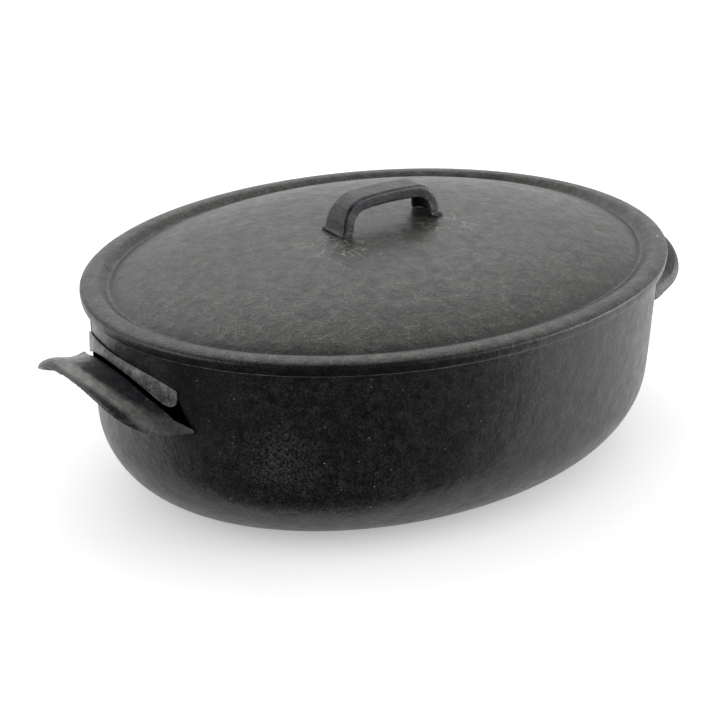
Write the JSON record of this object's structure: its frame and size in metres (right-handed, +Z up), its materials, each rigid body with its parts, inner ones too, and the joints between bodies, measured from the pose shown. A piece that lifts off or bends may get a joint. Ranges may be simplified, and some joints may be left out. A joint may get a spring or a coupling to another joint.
{
  "type": "oval roasting pan",
  "caption": "Deep oval roasting pan with a domed lift-off lid, a loop handle on the lid and two wing handles at its ends.",
  "frame": {"origin": "middle of the flat base, on the surface that the pan stands on", "axes": "+Z up through the lid's handle, +X along the length through both side handles"},
  "size_m": [0.468, 0.32, 0.1832],
  "materials": {
    "pan_coating": "cast, satin black coating",
    "lid_coating": "cast, satin black coating, worn",
    "handle_coating": "cast, satin black coating"
  },
  "bodies": {
    "pan": {"pan_body": "pan_coating", "left_handle_plate": "pan_coating", "right_handle_plate": "pan_coating", "left_side_handle": "handle_coating", "right_side_handle": "handle_coating"},
    "lid": {"lid": "lid_coating", "lid_handle": "handle_coating"}
  },
  "joints": [
    {"name": "lid_lift", "type": "slide", "parent": "pan", "child": "lid", "axis": [0, 0, 1], "range_m": [0, 0.16]}
  ]
}
